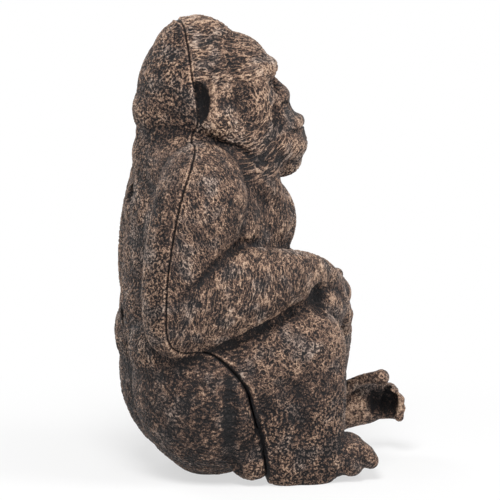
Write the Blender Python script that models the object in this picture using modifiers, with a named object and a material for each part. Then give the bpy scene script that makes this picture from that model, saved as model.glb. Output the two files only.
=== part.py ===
"""A seated gorilla ornament: two hollow iron castings, front and back, drawn together by two machine screws.

The gorilla faces -Y and sits on the plane z = 0. Its own right side is -X.
The figure is modelled like clay, out of eggs and strings of beads that are melted together.
Its places and sizes are in millimetres; MM turns them into metres where they reach Blender.
"""

import math

import bmesh
import bpy
from mathutils import Euler, Matrix, Vector
from mathutils.bvhtree import BVHTree

MM = 0.001

# Castings
WALL = 4.5
SEAM_GAP = 0.3

# Loins to the middle of the head, seat to the left knee, ground to the seat, and how far apart the knees lie
TORSO = 134
LEG_REACH = 76
SEAT_HEIGHT = 62
KNEE_SPREAD = 92

# Landmarks of the figure, left side where there are two
SEAT = Vector((25, 40, SEAT_HEIGHT))
LOINS = Vector((0, 34, SEAT_HEIGHT + 42))
HEAD = LOINS + Vector((0, 14, TORSO))
LEFT_SHOULDER = LOINS + Vector((57, 12, 0.59 * TORSO))
LEFT_ELBOW = LOINS + Vector((60, 28, 6))
LEFT_FOREARM = LOINS + Vector((64, 0, 16))
LEFT_WRIST = LOINS + Vector((28, -65, 10))
RIGHT_SHOULDER = LOINS + Vector((-57, 21, 0.59 * TORSO))
RIGHT_ELBOW = LOINS + Vector((-60, 37, 6))
RIGHT_FOREARM = LOINS + Vector((-64, 1, 22))
RIGHT_WRIST = LOINS + Vector((-26, -64.5, 20.5))
LEFT_KNEE = Vector((KNEE_SPREAD / 2 - 2, SEAT.y - LEG_REACH, SEAT_HEIGHT + 17))
LEFT_ANKLE = Vector((LEFT_KNEE.x - 6, LEFT_KNEE.y + 7, 18))
RIGHT_KNEE = Vector((-KNEE_SPREAD / 2 - 2, LEFT_KNEE.y + 25, SEAT_HEIGHT + 23))
RIGHT_ANKLE = Vector((RIGHT_KNEE.x + 2, RIGHT_KNEE.y - 4, 14))

# Limb radii
UPPER_ARM = 28
FOREARM = 27.5
WRIST = 9.5
KNEE = 27.5
SHIN = 25
FINGER = 4.6
TOE = 4.8

# Parting line of the castings, (y, z) from the crown to the ground
PARTING = [(y, HEAD.z + z) for y, z in ((59.5, 52), (56.8, 46), (56.7, 19), (53.6, -9))]
PARTING += [(y, LOINS.z + z * TORSO) for y, z in ((60, 0.855), (71.4, 0.627), (79.5, 0.336))]
PARTING += [(y, LOINS.z + z) for y, z in ((81.5, 13), (79.5, -6.5), (71, -14.5), (51, -17))]
PARTING += [(y, z * SEAT_HEIGHT) for y, z in ((31.5, 1.097), (22, 0.694), (15.3, 0.274), (13.5, 0))]
EAR_POCKET = HEAD + Vector((44, 7, 3.4))
POCKET_HALF = Vector((11.5, 7.2, 15.6))

# Machine screws, M6 countersunk
SCREW_HEIGHTS = {"upper_screw": LOINS.z + 0.552 * TORSO, "lower_screw": LOINS.z - 4}
SCREW_LENGTH = 45
SHANK_RADIUS = 3
HEAD_RADIUS = 6
SLOT_WIDTH = 1.6
SLOT_DEPTH = 1.8
SCREW_CLEARANCE = 0.3
POST_RADIUS = 7
SINK = 0.5

# Longer than the figure every way, for what cuts right through it
BEYOND = 400

# Clay: how finely it is resolved, and how many faces the form and the hollow keep
GROUP_VOXEL = 1.9
FORM_VOXEL = 1.5
HOLLOW_VOXEL = 3.0
BEAD_STEP = 0.3
LEAST_CORE = 7
FORM_FACES = 11200
HOLLOW_FACES = 1800


def start_clean():
    for obj in list(bpy.data.objects):
        bpy.data.objects.remove(obj)


def collection(name):
    found = bpy.data.collections.new(name)
    bpy.context.scene.collection.children.link(found)
    return found


def egg_mesh():
    """A ball of radius 1, which every egg and bead copies."""
    ball = bmesh.new()
    bmesh.ops.create_icosphere(ball, subdivisions=3, radius=1)
    data = bpy.data.meshes.new("egg")
    ball.to_mesh(data)
    ball.free()
    return data


class Clay:
    """A lump of eggs and limbs that is melted into one closed skin.

    Its places are counted from a landmark of the figure.
    """

    def __init__(self, name, landmark=(0, 0, 0)):
        self.name = name
        self.landmark = Vector(landmark)
        self.eggs = []

    def ball(self, centre, half, tilt=(0, 0, 0)):
        """An egg, by its centre, its half-lengths and its tilt in degrees."""
        turn = Euler([math.radians(a) for a in tilt]).to_matrix().to_4x4()
        self.eggs.append((self.landmark + Vector(centre), half, turn))

    def pair(self, centre, half, tilt=(0, 0, 0)):
        """The same egg on both sides, given for the left side."""
        x, y, z = centre
        self.ball((x, y, z), half, tilt)
        self.ball((-x - 2 * self.landmark.x, y, z), half, (tilt[0], -tilt[1], -tilt[2]))

    def limb(self, *joints, squash=(1, 1, 1)):
        """Beads along a smooth path. A joint is (x, y, z, radius)."""
        for p in course(joints):
            self.ball(p.to_3d(), [p.w * s for s in squash])

    def limbs(self, *joints, squash=(1, 1, 1)):
        """The same limb on both sides, given for the left side."""
        self.limb(*joints, squash=squash)
        self.limb(*[(-x, y, z, r) for x, y, z, r in joints], squash=squash)

    def lump(self, where, wall=0):
        """The eggs as one object, not yet melted. A wall thins every egg, and leaves out the small ones."""
        egg = egg_mesh()
        whole = bmesh.new()
        for centre, half, turn in self.eggs:
            if wall and min(half) < wall + LEAST_CORE:
                continue
            size = Matrix.Diagonal((*[(h - wall) * MM for h in half], 1))
            copy = egg.copy()
            copy.transform(Matrix.Translation(centre * MM) @ turn @ size)
            whole.from_mesh(copy)
            bpy.data.meshes.remove(copy)
        bpy.data.meshes.remove(egg)
        return as_object(self.name, whole, where)

    def skin(self, where, melt, voxel=GROUP_VOXEL):
        return melted(self.lump(where), voxel, melt)


def course(joints):
    """Points along a smooth path through joints, as far apart as their radius asks for."""
    stops = [Vector(joint) for joint in joints]
    made = []
    for i in range(len(stops) - 1):
        a, b = stops[i], stops[i + 1]
        before, after = stops[max(i - 1, 0)], stops[min(i + 2, len(stops) - 1)]
        beads = max(2, math.ceil((b - a).to_3d().length / (BEAD_STEP * min(a.w, b.w))))
        made += [catmull(before, a, b, after, k / beads) for k in range(beads + 1)]
    return made


def catmull(p0, p1, p2, p3, t):
    return 0.5 * (
        2 * p1
        + (p2 - p0) * t
        + (2 * p0 - 5 * p1 + 4 * p2 - p3) * t * t
        + (3 * p1 - p0 - 3 * p2 + p3) * t * t * t
    )


def bead(point, radius, x=0, y=0, z=0):
    """A limb's joint at a landmark, or a little way off it."""
    return (point.x + x, point.y + y, point.z + z, radius)


def as_object(name, mesh, where):
    data = bpy.data.meshes.new(name)
    mesh.to_mesh(data)
    mesh.free()
    obj = bpy.data.objects.new(name, data)
    where.objects.link(obj)
    return obj


def fixed(obj):
    """Replaces an object's mesh by the mesh that its modifiers make."""
    graph = bpy.context.evaluated_depsgraph_get()
    made = bpy.data.meshes.new_from_object(obj.evaluated_get(graph))
    obj.modifiers.clear()
    obj.data = made
    return obj


def melted(obj, voxel, melt):
    remesh = obj.modifiers.new("voxels", "REMESH")
    remesh.mode = "VOXEL"
    remesh.voxel_size = voxel * MM
    if melt:
        soften = obj.modifiers.new("melt", "SMOOTH")
        soften.factor = 0.5
        soften.iterations = melt
    return fixed(obj)


def thinned(obj, faces):
    """Keeps about so many triangles."""
    thin = obj.modifiers.new("thin", "DECIMATE")
    thin.ratio = faces / sum(len(p.vertices) - 2 for p in obj.data.polygons)
    return fixed(obj)


def joined(name, objects, where):
    """The meshes of several objects as one object."""
    whole = bmesh.new()
    for obj in objects:
        whole.from_mesh(obj.data)
        bpy.data.objects.remove(obj)
    return as_object(name, whole, where)


def cut(obj, cutter, operation="DIFFERENCE"):
    step = obj.modifiers.new("cut", "BOOLEAN")
    step.operation = operation
    step.object = cutter
    step.solver = "EXACT"
    return fixed(obj)


def whole_piece(obj):
    """Drops the slivers that a cut leaves loose, so that one closed body is left."""
    mesh = bmesh.new()
    mesh.from_mesh(obj.data)
    left, pieces = set(mesh.verts), []
    while left:
        piece, edge = set(), {left.pop()}
        while edge:
            piece |= edge
            edge = {e.other_vert(v) for v in edge for e in v.link_edges} - piece
        left -= piece
        pieces.append(piece)
    pieces.sort(key=len)
    bmesh.ops.delete(mesh, geom=[v for piece in pieces[:-1] for v in piece], context="VERTS")
    mesh.to_mesh(obj.data)
    mesh.free()
    return obj


def carve(obj, clay, where):
    """Takes a lump of clay away from an object."""
    tool = clay.skin(where, 0, GROUP_VOXEL / 2)
    cut(obj, tool)
    bpy.data.objects.remove(tool)


def head():
    clay = Clay("head", HEAD)
    # skull, crest and forehead
    clay.ball((0, -1, 0), (41, 37, 46))
    clay.ball((0, -1.5, 24), (25, 28.5, 27.5))
    clay.ball((0, -23, 16), (31, 25, 24))
    # nape and temples
    clay.ball((0, 4, -8), (36, 35, 26))
    clay.pair((26, -22, 6), (12, 14, 18))
    # cheeks and jaw
    clay.ball((0, -18, -8), (42, 34, 30))
    clay.limbs((35, -10, -10, 13), (29, -28, -26, 14), (18, -41, -38, 13), (0, -48, -41, 13))
    # brow ridge, drooping at the temples
    clay.limbs((31, -28, 9, 5.5), (26, -37, 15.5, 6.5), (14, -43.5, 19, 7), (0, -45, 18, 6.5))
    # cheekbones
    clay.limbs((32, -28, 2, 6), (26, -38, 1, 7), (17, -45, -3, 7), (15, -47, -10, 8))
    # nose bridge, nose and nostril pads
    clay.limb((0, -43, 15, 5.5), (0, -48, 8, 5), (0, -54.5, -1, 7))
    clay.limbs((2, -55, -1, 6), (10, -52.5, -1, 6.2), (14, -50.5, -7, 5.8))
    # muzzle, lips and chin
    clay.ball((0, -41, -19), (29, 26, 17))
    clay.limbs((22, -48, -17, 7), (13, -61, -16, 6.3), (0, -65.5, -15.5, 6.2))
    clay.limbs((22, -46, -29, 10), (13, -56.5, -30.5, 11), (0, -61.5, -31, 11))
    clay.ball((0, -54, -41), (18, 14.5, 11.5))
    return clay


def face_hollows():
    clay = Clay("face_hollows", HEAD)
    # eye sockets, nostrils and mouth
    clay.pair((14.5, -51.5, 10), (8, 10.5, 5.5))
    clay.pair((6.5, -62, -5.5), (4, 5, 3))
    clay.limbs((20, -56, -21, 1.4), (10, -67, -20, 1.8), (0, -72, -19.5, 1.9))
    return clay


def eyes():
    clay = Clay("eyes", HEAD)
    clay.pair((14, -41.5, 10.5), (5, 5, 5))
    return clay


def ears():
    clay = Clay("ears", HEAD)
    clay.limbs(
        (38.5, -16, 12, 2.5), (38.8, -13, 18, 2.6), (38.8, -9, 20.5, 2.6), (40, -4.5, 19, 2.6),
        (41.8, -1.8, 12, 2.6), (42.3, -2.5, 3, 2.6), (42, -1.5, -6, 2.6), (40.5, 1, -13, 2.6),
    )
    clay.pair((36.5, -10, 5), (5.5, 9, 14), (0, 0, -12))
    return clay


def torso():
    clay = Clay("torso", LOINS)
    # neck and shoulders
    clay.ball((0, 24, 0.754 * TORSO), (40, 26, 30))
    clay.ball((0, 26, 0.836 * TORSO), (35, 24.5, 20))
    clay.pair((30, 0, 0.776 * TORSO), (15, 15, 14))
    clay.pair((24, -20, 0.657 * TORSO), (18, 16, 16))
    clay.limbs((0, 26, 0.716 * TORSO, 27), (28, 23, 0.694 * TORSO, 25), (46, 19, 0.627 * TORSO, 24))
    # back and belly
    clay.ball((0, 12, 0.455 * TORSO), (58, 45.5, 0.343 * TORSO))
    clay.ball((0, 8, 0.269 * TORSO), (64, 50.5, 0.388 * TORSO))
    clay.ball((0, 0, 0), (70, 61, 58))
    clay.pair((32, 14, 0.418 * TORSO), (36, 38, 0.343 * TORSO))
    clay.pair((34, 10, 0.104 * TORSO), (36, 44, 46))
    # chest
    clay.ball((0, -14, 0.418 * TORSO), (45, 36.5, 34))
    return clay


def seat():
    clay = Clay("seat", SEAT)
    clay.pair((-4, 0, 0), (53, 51.5, SEAT_HEIGHT - 2))
    clay.pair((-3, 4, 24), (48, 50.5, 40))
    clay.ball((-25, 0, 27 - SEAT_HEIGHT), (36, 30, 30))
    return clay


def upper_arm(side, shoulder, elbow):
    """One arm's upper half. Side is 1 on the left and -1 on the right."""
    clay = Clay("upper_arm")
    clay.limb(
        bead(shoulder, UPPER_ARM - 2, x=-7 * side, y=-1, z=8),
        bead(shoulder, UPPER_ARM + 1),
        bead(shoulder.lerp(elbow, 0.26), UPPER_ARM, x=2 * side, y=1.5),
        bead(shoulder.lerp(elbow, 0.52), UPPER_ARM - 2, x=2 * side, y=3),
        bead(shoulder.lerp(elbow, 0.84), UPPER_ARM - 3),
        bead(elbow, UPPER_ARM - 5, x=-2 * side, y=-2, z=-4),
        squash=(0.85, 1, 1),
    )
    return clay


def forearm(side, elbow, thick, wrist):
    """One arm's lower half, which bends round the belly."""
    clay = Clay("forearm")
    clay.limb(
        bead(elbow, FOREARM - 5.5, y=-2, z=-4),
        bead(elbow.lerp(thick, 0.45), FOREARM - 1.5, x=2 * side, z=-2),
        bead(thick, FOREARM),
        bead(thick.lerp(wrist, 0.27), FOREARM - 4, x=6 * side, z=3),
        bead(thick.lerp(wrist, 0.48), (FOREARM + WRIST) / 2 + 1, x=7 * side, z=4.5),
        bead(thick.lerp(wrist, 0.69), WRIST + 6, x=6 * side, z=5.5),
        bead(thick.lerp(wrist, 0.88), WRIST + 2, x=3.5 * side, z=4),
        bead(wrist, WRIST),
        squash=(0.72, 1, 1),
    )
    return clay


def right_hand():
    """Bends over its wrist and hangs before the left hand."""
    clay = Clay("right_hand", RIGHT_WRIST)
    clay.limb((-2, 2, 1, 10), (10, -6, -5, 9), (20, -12, -13, 10), squash=(1, 0.9, 1))
    clay.limb((14, -9, -10, 9), (31, -11, -10, 8), squash=(1, 0.8, 1))
    for i in range(4):
        x, z = 16 + 7.2 * i, -19 + 3.6 * i
        clay.limb(
            (x, -12, z + 4, FINGER + 0.4), (x + 3, -17.5, z - 8, FINGER), (x + 4, -16, z - 19, FINGER - 0.6)
        )
    clay.limb((4, -6, -7, 6.5), (6, -12, -19, 5.6), (9, -14, -28, 4.6))
    return clay


def left_hand():
    """Hangs behind the right hand."""
    clay = Clay("left_hand", LEFT_WRIST)
    clay.limb((2, 0, -2, 10), (-8, -4, -14, 10), (-14, -5, -24, 9.5), squash=(1, 0.8, 1))
    for i in range(4):
        x = -27 + 7.2 * i
        clay.limb((x + 3, -6, -26, FINGER + 0.4), (x, -8, -38, FINGER), (x - 1, -4, -48, FINGER - 0.4))
    return clay


def right_leg():
    clay = Clay("right_leg")
    clay.limb(
        (-45, 36, SEAT_HEIGHT + 4, 31), bead(RIGHT_KNEE, KNEE + 1.5, x=-1, y=21, z=-6), bead(RIGHT_KNEE, KNEE),
        squash=(0.9, 1, 1),
    )
    clay.limb(
        bead(RIGHT_KNEE, KNEE), bead(RIGHT_KNEE.lerp(RIGHT_ANKLE, 0.35), SHIN + 1.5),
        bead(RIGHT_KNEE.lerp(RIGHT_ANKLE, 0.7), SHIN - 0.5), bead(RIGHT_ANKLE, SHIN - 4),
        squash=(0.85, 1, 1),
    )
    # calf
    clay.limb(
        bead(RIGHT_KNEE, SHIN - 2, x=-4, y=21, z=-19), bead(RIGHT_KNEE, SHIN - 4, x=-4, y=16, z=-45),
        bead(RIGHT_ANKLE, SHIN - 8, x=-5, y=15), squash=(0.85, 1, 1),
    )
    clay.ball(RIGHT_ANKLE + Vector((-3, 35, 3)), (15, 17, 14.5))
    return clay


def left_leg():
    clay = Clay("left_leg")
    clay.limb(
        (44, 36, SEAT_HEIGHT, 31), bead(LEFT_KNEE, KNEE, x=4, y=36, z=-5), bead(LEFT_KNEE, KNEE - 0.5),
        squash=(0.9, 1, 1),
    )
    clay.limb(
        bead(LEFT_KNEE, KNEE - 0.5), bead(LEFT_KNEE.lerp(LEFT_ANKLE, 0.35), SHIN, y=-1),
        bead(LEFT_KNEE.lerp(LEFT_ANKLE, 0.7), SHIN - 5), bead(LEFT_ANKLE, SHIN - 10),
        squash=(0.9, 1, 1),
    )
    # calf
    clay.limb(
        bead(LEFT_KNEE, SHIN - 1, x=6, y=36, z=-17), bead(LEFT_KNEE, SHIN - 4, x=6, y=32, z=-43),
        bead(LEFT_ANKLE, SHIN - 10, x=8, y=18, z=-3), squash=(0.9, 1, 1),
    )
    clay.ball(LEFT_ANKLE + Vector((9, 42, 0)), (15, 20, 14.5))
    return clay


def right_foot():
    """Flat on the ground."""
    clay = Clay("right_foot", RIGHT_ANKLE)
    clay.limb((-1, 9, -2, 15), (0, -11, 1, 15.5), (3, -25, 4, 12.5), squash=(1.1, 1, 0.95))
    for i in range(4):
        x = -8 + 7.2 * i
        clay.limb((x, -24, 6, TOE + 1.4), (x + 1, -33, 4.5, TOE + 1.2), (x + 2, -38.5 - i * 0.8, -1.5, TOE + 1))
    clay.limb((-7, -26, -3, 8), (16, -27, -3, 8))
    clay.limb((12, -13, 2, TOE + 3), (19, -24, 1, TOE + 1.5), (22, -33, -2, TOE + 1.2))
    return clay


def left_foot():
    """On its outer edge, with the sole turned inward and the toes curled."""
    clay = Clay("left_foot", LEFT_ANKLE)
    clay.limb((0, -6, 2, 15), (-1, -24, 10, 13), (-2, -42, 13, 12), squash=(0.62, 1, 1.1))
    clay.ball((2, 4, -6), (13, 17, 14.5))
    for i in range(4):
        z = 7.5 + 5.5 * i
        clay.limb(
            (-2, -46, z, TOE - 0.6), (-4, -56, z, TOE - 0.8), (-11, -60, z, TOE - 1), (-18, -58, z, TOE - 0.9)
        )
    clay.limb(
        (-5, -16, 18, TOE + 3), (-10, -27.5, 25.5, TOE + 1.2), (-14, -38, 31, TOE), (-18, -48, 33, TOE + 0.4)
    )
    return clay


def pressed(clay, skin, side, landmark, stops, radius, depth):
    """Beads laid into the skin of one side along (y, z) stops, sinking to a depth between them."""
    joints = [(0, landmark.y + y, landmark.z + z, radius) for y, z in stops]
    path = course(joints)
    for i, p in enumerate(path):
        t = i / (len(path) - 1)
        outside = Vector((side * BEYOND / 2, p.y, p.z)) * MM
        spot, normal = skin.ray_cast(outside, Vector((-side, 0, 0)))[:2]
        if spot:
            sunk = depth * min(1, 6 * t * (1 - t))
            clay.ball(spot / MM + normal * (radius - sunk), (radius, radius, radius))


def folds(shape):
    """The folds where two masses meet, on both sides, and the hollow of the left sole."""
    skin = BVHTree.FromPolygons([v.co for v in shape.data.vertices], [p.vertices for p in shape.data.polygons])
    clay = Clay("folds")
    for side, elbow, knee in ((1, LEFT_ELBOW, LEFT_KNEE), (-1, RIGHT_ELBOW, RIGHT_KNEE)):
        # bend of the arm, armpit, and below the forearm
        pressed(clay, skin, side, elbow, ((-31, 44.5), (-19, 34), (-7, 22), (7, 8.5)), 4.2, 3.2)
        pressed(clay, skin, side, elbow, ((-53, 43), (-40, 44.5), (-27, 41.5)), 3.6, 2.4)
        pressed(clay, skin, side, elbow, ((-22, -18), (-37, -14), (-51, -7), (-65, 0), (-79, 6)), 4.6, 3.4)
        # down the shin, behind the thigh, below the jaw, and beside the muzzle
        pressed(clay, skin, side, knee, ((9, -14), (7, -30), (4, -46), (3, -60)), 7, 1.2)
        pressed(clay, skin, side, SEAT, ((1, 13), (1, 0), (0, -14), (-1, -30)), 6, 2.5)
        jaw = ((4, -22), (-6, -23), (-15.5, -25), (-25, -30.5), (-35, -40.5), (-43, -48.5))
        pressed(clay, skin, side, HEAD, jaw, 2.8, 2)
        pressed(clay, skin, side, HEAD, ((-49, 3), (-50.5, -8), (-46, -21), (-40, -33)), 4, 1.4)
    clay.ball(LEFT_ANKLE + Vector((-11, -47.5, 16.5)), (11, 8.5, 10.5))
    return clay


def main_masses():
    """The lumps of the figure, each with how far its creases are melted."""
    return [
        (torso(), 14), (seat(), 6),
        (upper_arm(-1, RIGHT_SHOULDER, RIGHT_ELBOW), 6), (upper_arm(1, LEFT_SHOULDER, LEFT_ELBOW), 6),
        (forearm(-1, RIGHT_ELBOW, RIGHT_FOREARM, RIGHT_WRIST), 5),
        (forearm(1, LEFT_ELBOW, LEFT_FOREARM, LEFT_WRIST), 5),
        (right_leg(), 6), (left_leg(), 6),
        (right_hand(), 2), (left_hand(), 2), (right_foot(), 2), (left_foot(), 2),
    ]


def form(where):
    """The outer shape of the whole figure."""
    skull = head().skin(where, 4)
    carve(skull, face_hollows(), where)
    skins = [skull, eyes().skin(where, 1), ears().skin(where, 1, GROUP_VOXEL / 2)]
    skins += [clay.skin(where, melt) for clay, melt in main_masses()]
    whole = melted(joined("form", skins, where), FORM_VOXEL, 3)
    carve(whole, folds(whole), where)
    melted(whole, FORM_VOXEL, 2)
    thinned(whole, FORM_FACES)
    below = block("below", (0, 0, -BEYOND / 2), (BEYOND, BEYOND, BEYOND), where)
    return cut(whole, below)


def hollow(where):
    """The space inside the castings: the thick masses less the wall, crossed by the posts."""
    clays = [head()] + [clay for clay, melt in main_masses()]
    lumps = joined("hollow", [clay.lump(where, WALL) for clay in clays], where)
    space = melted(lumps, HOLLOW_VOXEL, 6)
    thinned(space, HOLLOW_FACES)
    wall = Clay("pocket_wall")
    wall.pair(EAR_POCKET, POCKET_HALF + Vector((WALL, WALL, WALL)))
    cut(space, wall.lump(where))
    cut(space, block("floor", (0, 0, WALL - BEYOND / 2), (BEYOND, BEYOND, BEYOND), where))
    for name, height in SCREW_HEIGHTS.items():
        cut(space, rod(name + "_post", POST_RADIUS, BEYOND, (0, -BEYOND / 2, height), where))
    return space


def block(name, centre, size, where):
    mesh = bmesh.new()
    bmesh.ops.create_cube(mesh, size=1)
    mesh.transform(Matrix.Translation(Vector(centre) * MM) @ Matrix.Diagonal((*[s * MM for s in size], 1)))
    return as_guide(as_object(name, mesh, where))


def rod(name, radius, length, start, where, sides=32):
    """A round bar that runs along +Y from its start."""
    mesh = bmesh.new()
    bmesh.ops.create_cone(
        mesh, cap_ends=True, segments=sides, radius1=radius * MM, radius2=radius * MM, depth=length * MM
    )
    upright = Matrix.Translation((0, 0, length / 2 * MM))
    turn = Matrix.Rotation(math.radians(-90), 4, "X")
    mesh.transform(Matrix.Translation(Vector(start) * MM) @ turn @ upright)
    return as_guide(as_object(name, mesh, where))


def as_guide(obj):
    obj.hide_render = True
    obj.display_type = "WIRE"
    return obj


def offset(points, distance):
    """A line moved sideways by a distance, to its left as it runs."""
    moved = []
    for i, point in enumerate(points):
        before, after = points[max(i - 1, 0)], points[min(i + 1, len(points) - 1)]
        first = (point - before).normalized() if i else (after - point).normalized()
        second = (after - point).normalized() if i < len(points) - 1 else first
        normal = Vector((-(first + second).y, (first + second).x)).normalized()
        moved.append(point + normal * distance / max(0.5, normal.dot(Vector((-first.y, first.x)))))
    return moved


def region(name, side, where):
    """All that lies before or behind the parting line, less half the seam's gap. Side is -1 before it."""
    line = [Vector(PARTING[0]) + Vector((0, 40))] + [Vector(p) for p in PARTING]
    line.append(line[-1] + Vector((0, -40)))
    edge = offset(line, side * SEAM_GAP / 2)
    outline = edge + [Vector((side * BEYOND, line[-1].y)), Vector((side * BEYOND, line[0].y))]
    curve = bpy.data.curves.new(name, "CURVE")
    curve.dimensions = "2D"
    curve.fill_mode = "BOTH"
    curve.extrude = BEYOND / 2 * MM
    spline = curve.splines.new("POLY")
    spline.points.add(len(outline) - 1)
    for point, (y, z) in zip(spline.points, outline):
        point.co = (y * MM, z * MM, 0, 1)
    spline.use_cyclic_u = True
    flat = bpy.data.objects.new(name, curve)
    where.objects.link(flat)
    flat.rotation_euler = (math.radians(90), 0, math.radians(90))
    graph = bpy.context.evaluated_depsgraph_get()
    mesh = bmesh.new()
    mesh.from_mesh(bpy.data.meshes.new_from_object(flat.evaluated_get(graph)))
    mesh.transform(flat.matrix_world)
    bmesh.ops.remove_doubles(mesh, verts=mesh.verts, dist=0.01 * MM)
    bmesh.ops.recalc_face_normals(mesh, faces=mesh.faces)
    bpy.data.objects.remove(flat)
    return as_guide(as_object(name, mesh, where))


def seat_depth(shape, height):
    """Where a screw's head lies flush or deeper all round in the back of the figure."""
    tree = BVHTree.FromPolygons([v.co for v in shape.data.vertices], [p.vertices for p in shape.data.polygons])
    depths = []
    for k in range(16):
        angle = math.tau * k / 16
        x, z = HEAD_RADIUS * math.cos(angle), height + HEAD_RADIUS * math.sin(angle)
        hit = tree.ray_cast(Vector((x, BEYOND / 2, z)) * MM, Vector((0, -1, 0)))[0]
        depths.append(hit.y / MM)
    return min(depths) - SINK


def turned(name, profile, height, where, sides=32):
    """A turned shape about a line along +Y at a height. The profile is (radius, y), from its +Y end."""
    data = bpy.data.meshes.new(name)
    points = [(radius * MM, 0, y * MM) for radius, y in profile]
    data.from_pydata(points, [(i, i + 1) for i in range(len(points) - 1)], [])
    obj = bpy.data.objects.new(name, data)
    where.objects.link(obj)
    lathe = obj.modifiers.new("lathe", "SCREW")
    lathe.steps = lathe.render_steps = sides
    lathe.use_merge_vertices = True
    lathe.merge_threshold = 0.00001
    fixed(obj)
    turn = Matrix.Rotation(math.radians(-90), 4, "X")
    obj.data.transform(Matrix.Translation((0, 0, height * MM)) @ turn)
    return as_guide(obj)


def screw_blank(name, height, depth, room, where):
    """A screw's outline, or with room its hole. The head faces +Y."""
    cone = HEAD_RADIUS - SHANK_RADIUS
    shank, top = SHANK_RADIUS + room, HEAD_RADIUS + room
    end = depth - SCREW_LENGTH - 10 * room
    mouth = [(0, depth + 40), (top, depth + 40)] if room else [(0, depth)]
    profile = mouth + [(top, depth), (shank, depth - cone), (shank, end), (0, end)]
    return turned(name, profile, height, where)


def screws(where, guides, depths):
    made = []
    for name, height in SCREW_HEIGHTS.items():
        blank = screw_blank(name + "_blank", height, depths[name], 0, guides)
        slot = (0, depths[name], height)
        cut(blank, block(name + "_slot", slot, (3 * HEAD_RADIUS, 2 * SLOT_DEPTH, SLOT_WIDTH), guides))
        screw = bpy.data.objects.new(name, blank.data)
        where.objects.link(screw)
        made.append(screw)
    return made


def castings(where, guides, shape, depths):
    shell = cut(shape, hollow(guides))
    for name, height in SCREW_HEIGHTS.items():
        cut(shell, screw_blank(name + "_hole", height, depths[name], SCREW_CLEARANCE, guides))
    made = []
    for name, side in (("front_casting", -1), ("back_casting", 1)):
        half = bpy.data.objects.new(name, shell.data.copy())
        where.objects.link(half)
        made.append(whole_piece(cut(half, region(name + "_region", side, guides), "INTERSECT")))
    return made


def finish(name, colour, metallic, roughness):
    material = bpy.data.materials.new(name)
    material.use_nodes = True
    surface = material.node_tree.nodes["Principled BSDF"]
    surface.inputs["Base Color"].default_value = (*colour, 1)
    surface.inputs["Metallic"].default_value = metallic
    surface.inputs["Roughness"].default_value = roughness
    return material


def main():
    start_clean()
    parts = collection("gorilla ornament")
    guides = collection("cutters")
    shape = form(guides)
    depths = {name: seat_depth(shape, height) for name, height in SCREW_HEIGHTS.items()}
    front, back = castings(parts, guides, shape, depths)
    pocket = Clay("ear_pocket")
    pocket.pair(EAR_POCKET, POCKET_HALF)
    cut(front, as_guide(pocket.lump(guides)))
    screw_pair = screws(parts, guides, depths)
    iron = {
        front: finish("front_bronzed_iron", (0.10, 0.062, 0.045), 0.6, 0.55),
        back: finish("back_bronzed_iron", (0.085, 0.055, 0.042), 0.6, 0.58),
        screw_pair[0]: finish("upper_screw_steel", (0.06, 0.05, 0.045), 0.8, 0.5),
        screw_pair[1]: finish("lower_screw_steel", (0.06, 0.05, 0.046), 0.8, 0.5),
    }
    for obj, material in iron.items():
        obj.data.materials.clear()
        obj.data.materials.append(material)
        obj.data.shade_smooth()
        obj.data.set_sharp_from_angle(angle=math.radians(45))
    for obj in list(guides.objects):
        as_guide(obj)


main()
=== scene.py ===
import math

import bpy
from mathutils import Euler, Matrix, Vector


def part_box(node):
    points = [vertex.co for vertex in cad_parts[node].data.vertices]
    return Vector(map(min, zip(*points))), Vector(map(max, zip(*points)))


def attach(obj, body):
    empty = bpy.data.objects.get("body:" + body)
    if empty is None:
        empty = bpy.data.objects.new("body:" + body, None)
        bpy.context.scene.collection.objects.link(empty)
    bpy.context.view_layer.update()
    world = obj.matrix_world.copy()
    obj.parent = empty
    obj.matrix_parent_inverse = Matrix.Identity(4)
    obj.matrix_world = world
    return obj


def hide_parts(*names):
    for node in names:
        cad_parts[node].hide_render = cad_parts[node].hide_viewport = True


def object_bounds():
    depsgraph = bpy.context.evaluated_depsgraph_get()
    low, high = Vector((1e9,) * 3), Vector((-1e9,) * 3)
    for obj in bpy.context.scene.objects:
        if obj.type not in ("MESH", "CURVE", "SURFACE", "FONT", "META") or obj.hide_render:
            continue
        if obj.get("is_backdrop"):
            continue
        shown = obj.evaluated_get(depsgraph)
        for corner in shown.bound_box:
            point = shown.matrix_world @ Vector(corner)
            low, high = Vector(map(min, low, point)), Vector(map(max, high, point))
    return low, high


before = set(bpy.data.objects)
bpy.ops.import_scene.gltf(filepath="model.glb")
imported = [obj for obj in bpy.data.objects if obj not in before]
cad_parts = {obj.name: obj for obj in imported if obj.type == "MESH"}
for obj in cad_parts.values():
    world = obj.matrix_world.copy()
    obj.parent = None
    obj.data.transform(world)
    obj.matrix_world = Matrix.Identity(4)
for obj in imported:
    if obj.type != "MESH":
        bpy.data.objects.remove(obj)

# The trunk: back, belly, neck and shoulders of a seated gorilla. The real figure is two hollow
# iron castings, whose pattern was modelled in clay, and it is built up here in the same way:
# balls and rolls of clay are pressed together, melted into one skin and parted only at the end.
cad_low, cad_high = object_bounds()
HEIGHT = 289.02
MM = (cad_high.z - cad_low.z) / HEIGHT
WALL = 4.5
LEAST_HOLLOW = 7
COARSE = 1.9
TORSO = 134
LOINS = Vector((0, 34, 104))

bpy.ops.object.select_all(action="DESELECT")
bpy.ops.mesh.primitive_ico_sphere_add(subdivisions=3, radius=1, location=(0, 0, 0))
pellet = bpy.context.object
pellet.name = "pellet"
heart = []


def hand(*objects):
    """Takes some objects in hand: they are selected, and nothing else."""
    bpy.ops.object.select_all(action="DESELECT")
    for obj in objects:
        obj.select_set(True)
    bpy.context.view_layer.objects.active = objects[0]
    return objects[0]


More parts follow.
